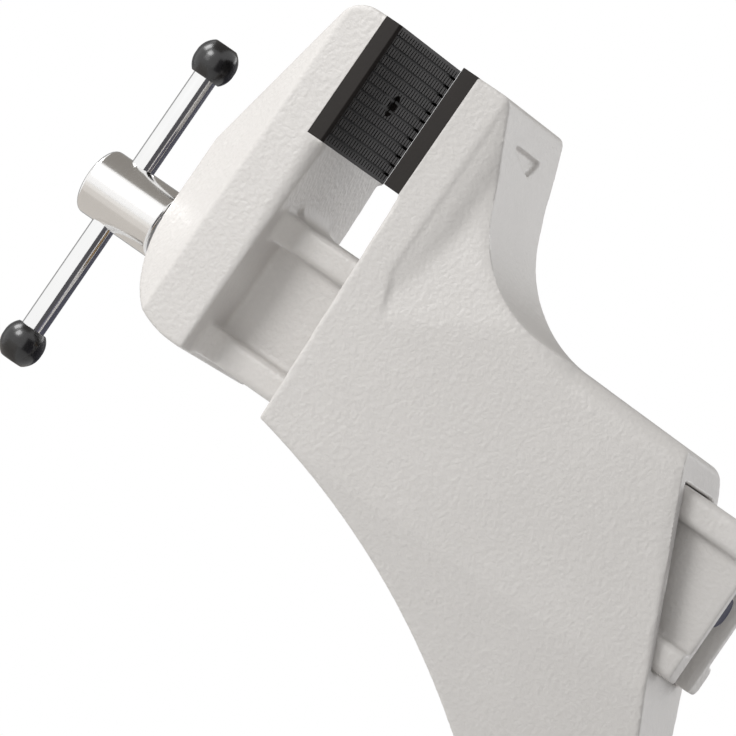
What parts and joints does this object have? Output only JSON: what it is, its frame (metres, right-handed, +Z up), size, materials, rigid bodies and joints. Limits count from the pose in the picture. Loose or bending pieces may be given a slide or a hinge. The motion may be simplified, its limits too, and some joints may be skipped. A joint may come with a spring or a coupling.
{
  "type": "ball joint vise",
  "caption": "Small clamp-on bench vise whose cast head tilts, swivels and twists on a locking ball joint, with grooved jaw plates, a lead screw and a sliding tommy bar.",
  "frame": {"origin": "centre of the bench face, the underside of the foot's rubber pad, straight below the ball's centre", "axes": "+Z up, away from the bench; +X to the rear of the head, away from the lead screw's head; +Y to the far side"},
  "size_m": [0.3519, 0.1467, 0.4668],
  "materials": {
    "paint": "off-white hammered paint on castings",
    "oxide": "black oxide on hardened steel",
    "chrome": "bright plated steel",
    "steel": "turned steel",
    "bronze": "machined bronze",
    "black_plastic": "moulded black plastic",
    "rubber": "matt black rubber"
  },
  "bodies": {
    "base": {"clamp_base": "paint", "bench_pad": "rubber"},
    "ball_seat": {"ball_seat": "bronze"},
    "ball_stud": {"ball_stud": "chrome", "stud_locknut": "steel"},
    "head": {"vise_body": "paint", "fixed_jaw_plate": "oxide", "fixed_plate_screw": "oxide", "lead_nut": "bronze", "lead_nut_screws": "steel"},
    "moving_jaw": {"moving_jaw": "paint", "moving_jaw_plate": "oxide", "moving_plate_screw": "oxide"},
    "lead_screw": {"lead_screw": "chrome", "thrust_washer": "steel", "screw_collar": "steel", "collar_pin": "steel"},
    "tommy_bar": {"tommy_bar": "chrome", "tommy_knob_upper": "black_plastic", "tommy_knob_lower": "black_plastic"},
    "lock_ring": {"lock_ring": "steel", "lock_lever": "chrome", "lever_knob": "black_plastic"},
    "pressure_pad": {"pressure_pad": "steel", "pressure_rubber": "rubber"},
    "clamp_screw": {"clamp_screw": "chrome"},
    "clamp_bar": {"clamp_bar": "chrome", "clamp_knob_near": "black_plastic", "clamp_knob_far": "black_plastic"}
  },
  "joints": [
    {"name": "ball_swivel", "type": "hinge", "parent": "base", "child": "ball_seat", "pos_m": [0, 0, 0.042], "axis": [0, 0, 1], "continuous": true},
    {"name": "ball_tilt", "type": "hinge", "parent": "ball_seat", "child": "ball_stud", "pos_m": [0, 0, 0.042], "axis": [0, 1, 0], "range_deg": [-12, 52]},
    {"name": "head_twist", "type": "hinge", "parent": "ball_stud", "child": "head", "pos_m": [0, 0, 0.042], "axis": [-0.342, 0, 0.9397], "continuous": true},
    {"name": "jaw_slide", "type": "slide", "parent": "head", "child": "moving_jaw", "axis": [1, 0, 0], "range_m": [-0.047, 0.0278]},
    {"name": "screw_turn", "type": "hinge", "parent": "moving_jaw", "child": "lead_screw", "pos_m": [-0.28, 0, 0.18671], "axis": [1, 0, 0], "continuous": true},
    {"name": "tommy_slide", "type": "slide", "parent": "lead_screw", "child": "tommy_bar", "axis": [0, 0, 1], "range_m": [-0.039, 0.0444]},
    {"name": "lock_turn", "type": "hinge", "parent": "base", "child": "lock_ring", "pos_m": [0, 0, 0.042], "axis": [0, 0, 1], "range_deg": [0, 60]},
    {"name": "pad_slide", "type": "slide", "parent": "base", "child": "pressure_pad", "axis": [0, 0, 1], "range_m": [-0.027, 0.027]},
    {"name": "clamp_turn", "type": "hinge", "parent": "pressure_pad", "child": "clamp_screw", "pos_m": [0, 0, -0.1], "axis": [0, 0, 1], "continuous": true},
    {"name": "clamp_bar_slide", "type": "slide", "parent": "clamp_screw", "child": "clamp_bar", "axis": [0, 1, 0], "range_m": [-0.0207, 0.0207]}
  ],
  "couplings": [
    {"joint": "screw_turn", "follows": "jaw_slide", "rad_per_m": 1570.8},
    {"joint": "clamp_turn", "follows": "pad_slide", "rad_per_m": 1570.8}
  ]
}
